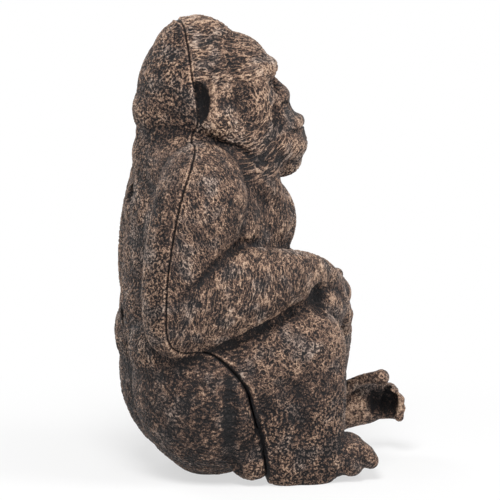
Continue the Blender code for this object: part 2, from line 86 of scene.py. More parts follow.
def work(obj, kind, **settings):
    """Adds a modifier to an object and applies it."""
    hand(obj)
    bpy.ops.object.modifier_add(type=kind)
    modifier = obj.modifiers[-1]
    for name, value in settings.items():
        setattr(modifier, name, value)
    bpy.ops.object.modifier_apply(modifier=modifier.name)
    return obj


def soften(obj, voxel, rounds):
    """Draws a lump together into one skin, with faces of a voxel's size, and smooths it."""
    work(obj, "REMESH", mode="VOXEL", voxel_size=voxel * MM)
    if rounds:
        work(obj, "SMOOTH", factor=0.5, iterations=rounds)
    return obj


def course(joints):
    """Points along a smooth path through joints, spaced by their radius. A joint is (x, y, z, radius)."""
    stops = [Vector(joint) for joint in joints]
    made = []
    for i in range(len(stops) - 1):
        a, b = stops[i], stops[i + 1]
        before, after = stops[max(i - 1, 0)], stops[min(i + 2, len(stops) - 1)]
        count = max(2, math.ceil((b - a).to_3d().length / (0.3 * min(a.w, b.w))))
        for k in range(count + 1):
            t = k / count
            made.append(0.5 * (
                2 * a + (b - before) * t + (2 * before - 5 * a + 4 * b - after) * t * t
                + (3 * a - before - 3 * b + after) * t * t * t
            ))
    return made


class Clay:
    """Balls and rolls of clay, counted from one landmark of the figure."""

    def __init__(self, name, about=(0, 0, 0)):
        self.name, self.about, self.pieces = name, Vector(about), []

    def ball(self, place, half, tilt=(0, 0, 0)):
        """Presses on one ball. A thick one also leaves a smaller ball in the core of the casting."""
        turn = Euler([math.radians(a) for a in tilt]).to_matrix().to_4x4()
        spot = Matrix.Translation((self.about + Vector(place)) * MM) @ turn
        lump = pellet.data.copy()
        lump.transform(spot @ Matrix.Diagonal((*[h * MM for h in half], 1)))
        piece = bpy.data.objects.new(self.name, lump)
        bpy.context.collection.objects.link(piece)
        self.pieces.append(piece)
        if min(half) > WALL + LEAST_HOLLOW:
            heart.append(spot @ Matrix.Diagonal((*[(h - WALL) * MM for h in half], 1)))

    def pair(self, place, half, tilt=(0, 0, 0)):
        x, y, z = place
        self.ball((x, y, z), half, tilt)
        self.ball((-x - 2 * self.about.x, y, z), half, (tilt[0], -tilt[1], -tilt[2]))

    def roll(self, *joints, squash=(1, 1, 1)):
        for p in course(joints):
            self.ball(p.to_3d(), [p.w * s for s in squash])

    def rolls(self, *joints, squash=(1, 1, 1)):
        self.roll(*joints, squash=squash)
        self.roll(*[(-x, y, z, r) for x, y, z, r in joints], squash=squash)

    def press(self):
        """Presses the clay into one loose lump."""
        hand(*self.pieces)
        bpy.ops.object.join()
        return bpy.context.object

    def skin(self, voxel, rounds):
        return soften(self.press(), voxel, rounds)


clay = Clay("trunk", LOINS)
clay.ball((0, 24, 0.754 * TORSO), (40, 26, 30))
clay.ball((0, 26, 0.836 * TORSO), (35, 24.5, 20))
clay.pair((30, 0, 0.776 * TORSO), (15, 15, 14))
clay.pair((24, -20, 0.657 * TORSO), (18, 16, 16))
clay.rolls((0, 26, 0.716 * TORSO, 27), (28, 23, 0.694 * TORSO, 25), (46, 19, 0.627 * TORSO, 24))
clay.ball((0, 12, 0.455 * TORSO), (58, 45.5, 0.343 * TORSO))
clay.ball((0, 8, 0.269 * TORSO), (64, 50.5, 0.388 * TORSO))
clay.ball((0, 0, 0), (70, 61, 58))
clay.pair((32, 14, 0.418 * TORSO), (36, 38, 0.343 * TORSO))
clay.pair((34, 10, 0.104 * TORSO), (36, 44, 46))
clay.ball((0, -14, 0.418 * TORSO), (45, 36.5, 34))
clay.rolls((34, 12, 98, 14), (36, 0, 95, 15), (34, -11, 89, 15), (29, -21, 80, 14), (24, -28, 71, 12))
skins = [clay.skin(COARSE, 14)]

# The seat: two haunches that the figure sits on, with a flat patch between them on the ground.
# It is clay on the same pattern, pressed against the trunk.
clay = Clay("seat", (25, 40, 62))
clay.pair((-4, 0, 0), (53, 51.5, 60))
clay.pair((-3, 4, 24), (48, 50.5, 40))
clay.ball((-25, 0, -35), (36, 30, 30))
skins.append(clay.skin(COARSE, 6))

# The head: a high skull with a crest, a brow ridge over deep eyes, broad cheeks, a flat nose and
# a long muzzle with a short mouth line. It is modelled finer than the body, in the same clay, and
# the sockets, nostrils and mouth are cut out with small tools.
HEAD = LOINS + Vector((0, 14, TORSO))
FINE, FINEST = 0.95, 0.8


def cut(obj, tool, operation="DIFFERENCE"):
    """Cuts one closed shape by another, and clears the tool away."""
    work(obj, "BOOLEAN", operation=operation, solver="MANIFOLD", object=tool)
    bpy.data.objects.remove(tool)
    return obj


clay = Clay("head", HEAD)
clay.ball((0, -1, 0), (41, 37, 46))
clay.ball((0, -1.5, 24), (25, 28.5, 27.5))
clay.ball((0, -23, 16), (31, 25, 24))
clay.ball((0, 4, -8), (36, 35, 26))
clay.pair((26, -22, 6), (12, 14, 18))
clay.ball((0, -18, -8), (42, 34, 30))
clay.rolls((35, -10, -10, 13), (29, -28, -26, 14), (18, -41, -38, 13), (0, -48, -41, 13))
clay.rolls((30, -25, 16, 8), (26, -34, 17, 8.5), (14, -43.5, 19, 7), (0, -45, 18, 6.5))
clay.rolls((28, -30, 16, 10), (28, -32, 4, 11), (29, -32, -10, 13), (27, -33, -22, 13))
clay.rolls((32, -28, 2, 6), (26, -38, 1, 7), (17, -45, -3, 7), (15, -47, -10, 8))
clay.roll((0, -43, 15, 5.5), (0, -48, 8, 5), (0, -54.5, -1, 7))
clay.rolls((2, -55, -1, 6), (10, -52.5, -1, 6.2), (14, -50.5, -7, 5.8))
clay.rolls((9, -53, -10, 6.5), (0, -55.5, -10, 7))
clay.ball((0, -41, -19), (29, 26, 17))
clay.rolls((20, -50, -19, 5.5), (12, -61.5, -18, 4.8), (0, -66.3, -17, 4.6))
clay.rolls((22, -46, -29, 10), (13, -56.5, -30.5, 11), (0, -61.5, -31, 11))
clay.ball((0, -62.5, -24), (12, 8, 8))
clay.ball((0, -54, -41), (18, 14.5, 11.5))
skull = clay.skin(FINE, 14)
clay = Clay("sockets", HEAD)
clay.pair((14.5, -51.5, 10), (8, 10.5, 5.5))
cut(skull, clay.skin(FINEST, 0))
clay = Clay("eyes", HEAD)
clay.pair((14, -41.5, 10.5), (5, 5, 5))
clay.rolls((8, -45, 11.5, 1.3), (14, -46.8, 14.5, 1.6), (20, -43.5, 12, 1.4))
clay.rolls((8, -45, 9.5, 1.2), (14, -46.8, 6.8, 1.4), (20, -43.5, 8, 1.2))
skins += [skull, clay.skin(FINEST, 2)]

# The ears: a thick curled rim over a shallow bowl, standing on the cheek just before the seam.
# Each is rolled clay, thinner than anything else on the head, and is smoothed least.
clay = Clay("ears", HEAD)
clay.rolls(
    (37.4, -18, 10, 1.8), (38.4, -15, 17, 2.0), (38.8, -10, 20, 2.2), (40, -6, 18.5, 2.2),
    (41.0, -4, 12, 2.2), (41.4, -4.3, 3, 2.2), (41, -3.8, -6, 2.2), (39, -1, -14, 2.1),
)
clay.pair((35.6, -11, 3), (5.8, 9, 16), (0, 0, -12))
clay.rolls((40.9, -7.5, 4, 1.3), (40.9, -9, 10, 1.4), (40.4, -12.5, 12, 1.4), (40.2, -13.5, 5, 1.3))
ears = clay.skin(FINEST, 2)
skins.append(ears)

# The arms: heavy upper arms that hang from the shoulders, and forearms that bend round the belly
# and lie on the thighs. They are rolls of clay, thick at the elbow and thin at the wrist.
UPPER_ARM = 28
FOREARM = 27.5
WRIST = 9.5
arms = {
    1: {
        "shoulder": (57, 12, 0.59 * TORSO), "elbow": (60, 28, 6),
        "thick": (64, 0, 16), "wrist": (28, -65, 10),
    },
    -1: {
        "shoulder": (-57, 21, 0.59 * TORSO), "elbow": (-60, 37, 6),
        "thick": (-64, 1, 22), "wrist": (-26, -64.5, 20.5),
    },
}


def joint(point, radius, x=0, y=0, z=0):
    """A roll's joint at a landmark, or a little way off it."""
    return (point.x + x, point.y + y, point.z + z, radius)


for side, places in arms.items():
    shoulder, elbow, thick, wrist = [LOINS + Vector(place) for place in places.values()]
    clay = Clay("upper_arm")
    clay.roll(
        joint(shoulder, UPPER_ARM - 2, x=-7 * side, y=-1, z=8),
        joint(shoulder, UPPER_ARM + 1),
        joint(shoulder.lerp(elbow, 0.26), UPPER_ARM, x=2 * side, y=1.5),
        joint(shoulder.lerp(elbow, 0.52), UPPER_ARM - 2, x=2 * side, y=3),
        joint(shoulder.lerp(elbow, 0.84), UPPER_ARM - 3),
        joint(elbow, UPPER_ARM - 5, x=-2 * side, y=-2, z=-4),
        squash=(0.85, 1, 1),
    )
    skins.append(clay.skin(COARSE, 5))
    clay = Clay("forearm")
    clay.roll(
        joint(elbow, FOREARM - 5.5, y=-2, z=-4),
        joint(elbow.lerp(thick, 0.45), FOREARM - 1.5, x=2 * side, z=-2),
        joint(thick, FOREARM),
        joint(thick.lerp(wrist, 0.27), FOREARM - 4, x=6 * side, z=3),
        joint(thick.lerp(wrist, 0.48), (FOREARM + WRIST) / 2 + 1, x=7 * side, z=4.5),
        joint(thick.lerp(wrist, 0.69), WRIST + 6, x=6 * side, z=5.5),
        joint(thick.lerp(wrist, 0.88), WRIST + 2, x=3.5 * side, z=4),
        joint(wrist, WRIST),
        squash=(0.72, 1, 1),
    )
    skins.append(clay.skin(COARSE, 4))

# The hands: the right bends over its wrist and hangs before the left. Each is a palm, four
# fingers with knuckles and a thumb, rolled thin and pressed together.
FINGER = 4.6
RIGHT_WRIST = LOINS + Vector(arms[-1]["wrist"])
LEFT_WRIST = LOINS + Vector(arms[1]["wrist"])

clay = Clay("right_hand", RIGHT_WRIST)
clay.roll((-2, 2, 1, 10), (10, -6, -5, 9), (20, -12, -13, 10), squash=(1, 0.9, 1))
clay.roll((14, -9, -10, 9), (31, -11, -10, 8), squash=(1, 0.8, 1))
for i in range(4):
    x, z = 16 + 7.2 * i, -19 + 3.6 * i
    clay.roll(
        (x, -12, z + 4, FINGER + 0.2), (x + 3, -17.5, z - 8, FINGER - 0.3),
        (x + 4, -16, z - 19, FINGER - 0.8),
    )
    clay.ball((x + 3, -18.5, z - 7.5), (FINGER + 0.1, FINGER - 0.6, 3.6))
    clay.ball((x - 0.5, -16, z + 4), (FINGER, FINGER - 0.8, 4.2))
clay.roll((4, -6, -7, 6.5), (6, -12, -19, 5.6), (9, -14, -28, 4.6))
clay.roll((1, 4, -3, 11), (3, 2, -15, 11.4), (6, 0, -28, 11.4))
clay.roll((-20, 30, -14, 11.4), (-15, 18, -14, 11.4), (-8, 6, -14, 11.4), (3, -2, -20, 11.4))
clay.roll((-18, 26, -26, 11.4), (-12, 14, -26, 11.4), (-4, 4, -27, 11.4))
skins.append(clay.skin(FINE, 4))

clay = Clay("left_hand", LEFT_WRIST)
clay.roll((2, 0, -2, 10), (-8, -4, -14, 10), (-14, -5, -24, 9.5), squash=(1, 0.8, 1))
for i in range(4):
    x = -27 + 7.2 * i
    clay.roll((x + 3, -6, -26, FINGER + 0.2), (x, -8, -38, FINGER - 0.3), (x - 1, -4, -48, FINGER - 0.6))
    clay.ball((x + 0.2, -9, -37.5), (FINGER + 0.1, FINGER - 0.6, 3.6))
skins.append(clay.skin(FINE, 4))

# The legs: knees drawn up, shins upright and calves behind them, all rolls of clay pressed
# against the haunches. The left knee stands further forward than the right.
KNEE = 27.5
SHIN = 25
RIGHT_KNEE, RIGHT_ANKLE = Vector((-48, -11, 85)), Vector((-46, -15, 14))
LEFT_KNEE, LEFT_ANKLE = Vector((44, -36, 79)), Vector((38, -29, 18))

clay = Clay("right_leg")
clay.roll(
    (-45, 36, 66, 31), joint(RIGHT_KNEE, KNEE + 1.5, x=-1, y=21, z=-6), joint(RIGHT_KNEE, KNEE),
    squash=(0.9, 1, 1),
)
clay.roll(
    joint(RIGHT_KNEE, KNEE), joint(RIGHT_KNEE.lerp(RIGHT_ANKLE, 0.35), SHIN + 1.5),
    joint(RIGHT_KNEE.lerp(RIGHT_ANKLE, 0.7), SHIN - 0.5), joint(RIGHT_ANKLE, SHIN - 4), squash=(0.85, 1, 1),
)
clay.roll(
    joint(RIGHT_KNEE, SHIN - 2, x=-4, y=21, z=-19), joint(RIGHT_KNEE, SHIN - 4, x=-4, y=16, z=-45),
    joint(RIGHT_ANKLE, SHIN - 8, x=-5, y=15), squash=(0.85, 1, 1),
)
clay.ball(RIGHT_ANKLE + Vector((-3, 35, 3)), (15, 17, 14.5))
clay.ball(RIGHT_ANKLE + Vector((1, 38, 16)), (18, 22, 22))
skins.append(clay.skin(COARSE, 5))

clay = Clay("left_leg")
clay.roll(
    (44, 36, 62, 31), joint(LEFT_KNEE, KNEE, x=4, y=36, z=-5), joint(LEFT_KNEE, KNEE - 0.5),
    squash=(0.9, 1, 1),
)
clay.roll(
    joint(LEFT_KNEE, KNEE - 0.5), joint(LEFT_KNEE.lerp(LEFT_ANKLE, 0.35), SHIN, y=-1),
    joint(LEFT_KNEE.lerp(LEFT_ANKLE, 0.7), SHIN - 5), joint(LEFT_ANKLE, SHIN - 10), squash=(0.9, 1, 1),
)
clay.roll(
    joint(LEFT_KNEE, SHIN - 1, x=6, y=36, z=-17), joint(LEFT_KNEE, SHIN - 4, x=6, y=32, z=-43),
    joint(LEFT_ANKLE, SHIN - 10, x=8, y=18, z=-3), squash=(0.9, 1, 1),
)
clay.ball(LEFT_ANKLE + Vector((9, 42, 0)), (15, 20, 14.5))
skins.append(clay.skin(COARSE, 5))

# The feet: the right one flat on the ground with its toes a little raised, the left one on its
# outer edge, so that its sole and curled toes face inward. Toes are rolled like the fingers.
TOE = 4.8

clay = Clay("right_foot", RIGHT_ANKLE)
clay.roll((-1, 9, -2, 15), (0, -11, 1, 15.5), (3, -25, 4, 12.5), squash=(1.1, 1, 0.95))
for i in range(4):
    x = -8 + 7.2 * i
    clay.roll((x, -24, 6, TOE + 1.2), (x + 1, -33, 4.5, TOE + 0.8), (x + 2, -38.5 - i * 0.8, -1.5, TOE + 0.8))
    clay.ball((x + 1, -33.5, 6.5), (TOE + 0.3, 4.2, 4))
clay.roll((-7, -26, -3, 8), (16, -27, -3, 8))
clay.roll((12, -13, 2, TOE + 3), (19, -24, 1, TOE + 1.5), (22, -33, -2, TOE + 1.2))
skins.append(clay.skin(FINE, 4))

clay = Clay("left_foot", LEFT_ANKLE)
clay.roll((0, -6, 2, 15), (-1, -24, 10, 13), (-2, -42, 13, 12), squash=(0.62, 1, 1.1))
clay.ball((2, 4, -6), (13, 17, 14.5))
for i, reach in enumerate((0.6, -0.6, 0, 4)):
    z = 6.5 + 5.7 * i
    clay.roll((-2, -46, z, TOE - 0.8), (-4, -56, z, TOE - 1.2), (-9, reach - 60.5, z, TOE - 1.6))
    clay.roll((-9, reach - 60.5, z, TOE - 1.6), (-17, reach - 61, z, TOE - 1.9))
    clay.ball((-11, reach - 60.8, z), (4.5, 3.6, TOE - 1.7))
    clay.ball((-17.5, reach - 60.2, z), (3.2, 3.4, TOE - 1.8))
clay.roll(
    (-5, -16, 18, TOE + 2), (-10, -27.5, 26, TOE - 0.2), (-14, -38, 31.5, TOE - 0.9),
    (-18, -46, 33, TOE - 0.4),
)
clay.ball((-17.5, -48, 33), (5.5, 5.6, 5.4))
skins.append(clay.skin(FINE, 4))

# The whole figure: the lumps are melted into one skin, and the folds between them are pressed in
# with a round tool: in the bend of the arm, below the forearm, behind the thigh, under the jaw and
# in the left sole. The mouth and nostrils are cut with a finer one, and the ground is sawn flat.
hand(*skins)
bpy.ops.object.join()
figure = bpy.context.object
figure.name = "figure"
soften(figure, 1.1, 1)
tool = Clay("folds")


def fold(side, landmark, stops, radius, depth):
    """A round tool laid along the skin of one side through (y, z) stops, deepest between its ends."""
    path = course([(0, landmark.y + y, landmark.z + z, radius) for y, z in stops])
    for i, p in enumerate(path):
        t = i / (len(path) - 1)
        start = Vector((side * 0.2, p.y * MM, p.z * MM))
        hit, spot, normal = figure.ray_cast(start, Vector((-side, 0, 0)))[:3]
        if hit:
            sunk = depth * min(1, 6 * t * (1 - t))
            tool.ball(spot / MM + normal * (radius - sunk), (radius, radius, radius))


SEAT = Vector((25, 40, 62))
for side, places, knee in ((1, arms[1], LEFT_KNEE), (-1, arms[-1], RIGHT_KNEE)):
    elbow = LOINS + Vector(places["elbow"])
    fold(side, elbow, ((-31, 44.5), (-19, 34), (-7, 22), (7, 8.5)), 4.5, 1.8)
    fold(side, elbow, ((-53, 43), (-40, 44.5), (-27, 41.5)), 3.6, 2.2)
    fold(side, elbow, ((-22, -18), (-37, -14), (-51, -7), (-65, 0), (-79, 6)), 4.6, 2.8)
    fold(side, knee, ((6, -36), (5, -46), (4, -56)), 13, 1.3)
    fold(side, SEAT, ((1, 13), (1, 0), (0, -14), (-1, -30), (-2, -46)), 9, 2.7)
    fold(side, HEAD, ((4, -22), (-6, -23), (-15.5, -25), (-25, -30.5), (-35, -40.5), (-43, -48.5)), 2.0, 1.8)
    fold(side, HEAD, ((-46, 4), (-48, -6), (-44, -17), (-38, -28)), 9, 1.6)
    fold(side, HEAD, ((-19, 44), (-14, 39), (-1, 37), (6, 37.5)), 2, 0.6)
tool.ball(RIGHT_WRIST + Vector((-30, 6, -8)), (13, 12, 12))
tool.ball(LEFT_ANKLE + Vector((-12, -45.5, 16)), (9, 6, 10.5))
tool.ball(LEFT_ANKLE + Vector((-13, -53.5, 15)), (10, 6, 11), (12, 0, 0))
cut(figure, tool.skin(0.9, 1))
soften(figure, 1.0, 2)
tool = Clay("fine_tool")


def scribe(radius, *stops):
    """A thin tool drawn along the skin of the face, nearest to some stops, on both sides."""
    for p in course([(*(HEAD + Vector(stop)), radius) for stop in stops]):
        spot = figure.closest_point_on_mesh(p.to_3d() * MM)[1]
        tool.pair(spot / MM, (radius, radius, radius))


tool.pair(HEAD + Vector((6.5, -63, -5.5)), (3.6, 5, 2.6))
scribe(1.3, (19, -56, -21.5), (15, -63, -20.8), (9, -69, -20.2), (0, -73, -20))
scribe(0.9, (11, -57, -9), (15, -56.5, -4), (18, -52, -3))
cut(figure, tool.skin(0.5, 0))
hand(figure)
bpy.ops.object.mode_set(mode="EDIT")
bpy.ops.mesh.select_all(action="SELECT")
bpy.ops.mesh.bisect(plane_co=(0, 0, 0), plane_no=(0, 0, 1), use_fill=True, clear_inner=True)
bpy.ops.object.mode_set(mode="OBJECT")

# The two castings: iron about 4.5 mm thick, cast round a sand core and parted by a line that runs
# from the crown behind the ears, down the arm and forward under the thigh. Bosses inside carry the
# screws, and a core print leaves a pocket behind each ear.
PARTING = [
    (59.5, 330), (59.5, 290), (56.8, 284), (56.7, 257), (53.6, 229), (58.5, 216.5), (71.4, 188), (79.5, 149),
    (81.5, 117), (79.5, 97.5), (71, 89.5), (51, 87), (31.5, 68), (22, 43), (15.3, 17), (13.5, 0), (13.5, -40),
]
GAP = 0.3
SHANK, SLACK, POST = 3.3, 0.3, 7
POCKET = (11.5, 8.2, 15.6)
FAR = 150

core = Clay("core")
for spot in heart:
    lump = pellet.data.copy()
    lump.transform(spot)
    piece = bpy.data.objects.new("core", lump)
    bpy.context.collection.objects.link(piece)
    core.pieces.append(piece)
core = core.skin(3.0, 6)
hand(core)
bpy.ops.object.mode_set(mode="EDIT")
bpy.ops.mesh.select_all(action="SELECT")
bpy.ops.mesh.bisect(plane_co=(0, 0, WALL * MM), plane_no=(0, 0, 1), use_fill=True, clear_inner=True)
bpy.ops.object.mode_set(mode="OBJECT")


pocket_wall = Clay("pocket_wall", HEAD)
pocket_wall.pair((44, 7, 3.4), (11.5 + WALL, 7.2 + WALL, 15.6 + WALL))
cut(core, pocket_wall.skin(1.5, 0))


def bar(radius, far_radius, near, far, height):
    """A round bar or cone along +Y, from near to far."""
    bpy.ops.object.select_all(action="DESELECT")
    bpy.ops.mesh.primitive_cone_add(
        vertices=48, radius1=radius * MM, radius2=far_radius * MM, depth=(far - near) * MM,
        location=(0, (near + far) / 2 * MM, height * MM), rotation=(math.radians(-90), 0, 0),
    )
    bpy.ops.object.transform_apply(location=True, rotation=True, scale=True)
    return bpy.context.object


for name in ("upper_screw", "lower_screw"):
    low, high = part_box(name)
    cut(core, bar(POST, POST, -FAR, FAR, (low.z + high.z) / 2 / MM))
cast = hand(figure)
bpy.ops.object.duplicate()
cast = bpy.context.object
cut(cast, core)
for name in ("upper_screw", "lower_screw"):
    low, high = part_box(name)
    height, face, radius = (low.z + high.z) / 2 / MM, high.y / MM, (high.z - low.z) / 2 / MM
    cut(cast, bar(SHANK, SHANK, low.y / MM - 3, face, height))
    cut(cast, bar(SHANK, radius + SLACK, face - radius + 3, face, height))
    cut(cast, bar(radius + SLACK, radius + SLACK, face - 0.01, face + 40, height))


def mould(name, side, gap):
    """A block that fills one side of the parting line, less half the gap."""
    line = [Vector((p.y, p.z)) for p in course([(0, y, z, 7) for y, z in PARTING])]
    line = [p for p, following in zip(line, line[1:]) if (following - p).length > 0.1] + line[-1:]
    edge = []
    for i, point in enumerate(line):
        ahead = (line[min(i + 1, len(line) - 1)] - line[max(i - 1, 0)]).normalized()
        edge.append(point + Vector((-ahead.y, ahead.x)) * side * gap / 2)
    outline = edge + [Vector((side * 2 * FAR, line[-1].y)), Vector((side * 2 * FAR, line[0].y))]
    drawn = bpy.data.curves.new(name, "CURVE")
    drawn.dimensions = "2D"
    drawn.fill_mode = "BOTH"
    drawn.extrude = FAR * MM
    spline = drawn.splines.new("POLY")
    spline.points.add(len(outline) - 1)
    for point, (y, z) in zip(spline.points, outline):
        point.co = (y * MM, z * MM, 0, 1)
    spline.use_cyclic_u = True
    block = bpy.data.objects.new(name, drawn)
    bpy.context.collection.objects.link(block)
    block.rotation_euler = (math.radians(90), 0, math.radians(90))
    hand(block)
    bpy.ops.object.convert(target="MESH")
    block = bpy.context.object
    bpy.ops.object.transform_apply(location=True, rotation=True, scale=True)
    bpy.ops.object.mode_set(mode="EDIT")
    bpy.ops.mesh.select_all(action="SELECT")
    bpy.ops.mesh.remove_doubles(threshold=0.01 * MM)
    bpy.ops.mesh.normals_make_consistent(inside=False)
    bpy.ops.object.mode_set(mode="OBJECT")
    return block


castings = {}
for name, side in (("front_casting", -1), ("back_casting", 1)):
    half = bpy.data.objects.new(name + "_dressed", cast.data.copy())
    bpy.context.collection.objects.link(half)
    castings[name] = cut(half, mould(name + "_mould", side, GAP), "INTERSECT")
bpy.data.objects.remove(cast)
pocket = Clay("pocket", HEAD)
pocket.pair((44, 6.2, 3.4), POCKET)
cut(castings["front_casting"], pocket.skin(FINEST, 0))

# The coat: short hair in relief, cut into the clay with a wire tool and cast with the figure. It is
# granular on the back, lies in level strokes over the crown, sweeps round the cheeks, runs down the
# arms and curls in worms over the knees. Face, hands and feet are barer.
GRAIN = 1.6
CHEEK = (29, 241)  # the (y, z) that the hair of the cheek sweeps round


def step(tree, kind, *feeds, out=0, **settings):
    """One node of a pattern, with its sockets fed in order."""
    node = tree.nodes.new(kind)
    for name, value in settings.items():
        setattr(node, name, value)
    for socket, feed in zip(node.inputs, feeds):
        if isinstance(feed, bpy.types.NodeSocket):
            tree.links.new(feed, socket)
        elif feed is not None:
            socket.default_value = feed
    return node.outputs[out]


def reckon(tree, operation, *feeds):
    return step(tree, "ShaderNodeMath", *feeds, operation=operation)


def ramp(tree, value, start, end, low=0, high=1):
    """From low to high as a value goes smoothly from start to end."""
    return step(tree, "ShaderNodeMapRange", value, start, end, low, high, interpolation_type="SMOOTHSTEP")


def times(tree, *values):
    total = values[0]
    for value in values[1:]:
        total = reckon(tree, "MULTIPLY", total, value)
    return total


def most(tree, *values):
    total = values[0]
    for value in values[1:]:
        total = reckon(tree, "MAXIMUM", total, value)
    return total


def over(tree, mask, below, above):
    """Lays one height or number over another where the mask is 1."""
    return step(tree, "ShaderNodeMix", mask, None, below, above)


def noise(tree, place, pitch, laid=(1, 1, 1), turn=0, detail=1):
    """An even noise round 0.5. Its pitch is in millimetres, and it is drawn out where laid is small."""
    turned = step(
        tree, "ShaderNodeVectorRotate", place, (0, 0, 0), None, math.radians(turn), rotation_type="X_AXIS"
    )
    drawn = step(tree, "ShaderNodeVectorMath", turned, tuple(v / pitch for v in laid), operation="MULTIPLY")
    return step(tree, "ShaderNodeTexNoise", drawn, None, 1, detail, 0.55)


def grains(tree, *laid, **kept):
    """Grains from 0 to 1, about as wide as the hollows between them."""
    return ramp(tree, noise(tree, *laid, **kept), 0.42, 0.58)


def ridges(tree, value, thin):
    """Thin curling ridges from 0 to 1, where a noise passes its middle."""
    return ramp(tree, reckon(tree, "ABSOLUTE", reckon(tree, "SUBTRACT", value, 0.5)), thin, 0.0)


def swept(tree, y, z, x, middle, pitch):
    """A noise that sweeps in rings round a middle on the cheek."""
    ahead = reckon(tree, "SUBTRACT", middle[0], y)
    up = reckon(tree, "SUBTRACT", z, middle[1])
    around = times(tree, reckon(tree, "ARCTAN2", up, ahead), 3.6)
    away = reckon(tree, "SQRT", reckon(tree, "ADD", times(tree, ahead, ahead), times(tree, up, up)))
    rings, slices = reckon(tree, "DIVIDE", away, pitch), reckon(tree, "DIVIDE", x, 9)
    swirl = step(tree, "ShaderNodeCombineXYZ", around, rings, slices)
    return step(tree, "ShaderNodeTexNoise", swirl, None, 1, 1, 0.5)


# spots on both sides in painted shade, and spots in a painted highlight over thicker copper, each with an
# inner and an outer radius
PAINTED_SHADE_SPOTS = (
    ((29, -79, 34), 6, 12), ((48, -20, 118), 6, 14), ((62, 19, 98), 5, 15), ((68, 3, 46), 4, 13),
    ((60, -21, 27), 3, 10), ((60, 73, 202), 3, 9), ((40, 62, 236), 5, 13), ((33, 44, 261), 3, 9),
    ((62, 83, 181), 4, 12), ((50, 24, 169), 4, 13),
)
PAINTED_HIGHLIGHT_SPOTS = (
    ((29, -60, 31), 8, 16), ((20, -88, 35), 5, 12), ((22, -80, 52), 3, 6), ((40, -52, 10), 5, 14),
    ((12, -14, 221), 2, 7),
)


def coat(tree, place):
    """What the coat is at a place in millimetres: the hair's height from 0 to 1, how tall it stands, where
    the skin is bare, where the leg's seam is, and the painted light (above 0, in places over thicker copper)
    and painted shade (below 0) that lie there."""
    x, y, z = [step(tree, "ShaderNodeSeparateXYZ", place, out=i) for i in range(3)]
    out_x = reckon(tree, "ABSOLUTE", x)
    both = step(tree, "ShaderNodeCombineXYZ", out_x, y, z)

    def near(centre, inner, outer):
        """1 near a spot on both sides, and 0 further off."""
        apart = step(tree, "ShaderNodeVectorMath", both, centre, operation="DISTANCE", out=1)
        return ramp(tree, apart, outer, inner)

    def where(*parts):
        """Masks or numbers multiplied. A mask may be given as a value and the bounds it rises between."""
        return times(tree, *[ramp(tree, *part) if isinstance(part, tuple) else part for part in parts])

    crown = where((z, 244, 254), (y, 62, 54))
    cheek = where((z, 186, 194), (z, 256, 246), (y, 34, 26), (out_x, 18, 26))
    above_thigh = ramp(tree, reckon(tree, "MULTIPLY_ADD", y, 0.463, z), 111, 117)
    arm = where((z, 216, 206), above_thigh, (out_x, 24, 36), (y, 84, 76))
    fore = where(arm, (reckon(tree, "MULTIPLY_ADD", y, 0.96, z), 196, 188))
    legs = where((z, 125, 110), reckon(tree, "SUBTRACT", 1, above_thigh))
    haunch = where(legs, (y, 22, 32))
    face = where((y, 0, -8), (z, 206, 213), (z, 262, 254), (out_x, 30, 22))
    hands = where((y, -24, -32), (z, 66, 74), (out_x, 34, 26), (z, 150, 140))
    foot = where((y, -26, -40), (z, 44, 36))
    sole = where((y, -54, -62), (z, 66, 60))
    bare = most(tree, face, near((41, 46, 240), 8, 14), hands, foot, sole)

    grain = grains(tree, place, GRAIN, detail=2)

    def stroked(value, below, thin=0.12):
        """Ridges that stand over a lower grain."""
        return most(tree, times(tree, grain, below), ridges(tree, value, thin))

    height = over(tree, where(legs, (z, 48, 72)), grain, stroked(noise(tree, place, 3.2), 0.6, thin=0.11))
    seat = over(tree, 0.45, grains(tree, place, 1.7, (1, 0.4, 1), 10), grain)
    height = over(tree, haunch, height, seat)
    height = over(tree, arm, height, stroked(noise(tree, place, 2.3, (1, 1, 0.45), 20), 0.6))
    height = over(tree, fore, height, stroked(noise(tree, place, 2.1, (0.7, 1, 0.35), -8), 0.4))
    height = over(tree, crown, height, stroked(noise(tree, place, 2.1, (0.5, 0.26, 1), 6), 0.35))
    height = over(tree, cheek, height, stroked(swept(tree, y, z, x, CHEEK, 2.6), 0.35))
    height = over(tree, bare, height, times(tree, grain, 0.7))
    tall = over(tree, bare, over(tree, most(tree, cheek, crown), 0.7, 0.95), 0.2)
    at_leg = where((z, 90, 78), (out_x, 30, 40))

    # painted shade lies low down, in a band before the haunch, on the face, arms and hands, on the back of
    # the head and in its spots; painted light lies on the crown, cheeks, forearms and knees, on the rim
    # before the pocket of the ear, and in its spots
    beside = reckon(tree, "ABSOLUTE", reckon(tree, "SUBTRACT", y, 39.5))
    painted_shade = most(
        tree, where((beside, 7, 3), (z, 82, 72), (z, 20, 34), (out_x, 30, 45)), where((z, 80, 50), 0.45),
        where(face, 0.7), where(arm, 0.3), where(hands, 0.35), where((y, 58, 66), (z, 212, 224), 0.3),
        *[near(*spot) for spot in PAINTED_SHADE_SPOTS],
    )
    squashed = step(
        tree, "ShaderNodeVectorMath", both, (1 / 20, 1 / POCKET[1], 1 / POCKET[2]), operation="MULTIPLY"
    )
    off = step(tree, "ShaderNodeVectorMath", squashed, (2, 6.61, 15.47), operation="DISTANCE", out=1)
    painted_highlight = most(
        tree, where(crown, 0.25), where(cheek, 0.1), where(fore, 0.5), where(legs, (z, 70, 90), 0.3),
        where((off, 0.95, 1.05), (off, 1.9, 1.35), (y, 54, 48), (out_x, 28, 34), 1.6),
        *[where(near(*spot), 1.5) for spot in PAINTED_HIGHLIGHT_SPOTS],
    )
    return height, tall, bare, at_leg, reckon(tree, "SUBTRACT", painted_highlight, painted_shade)


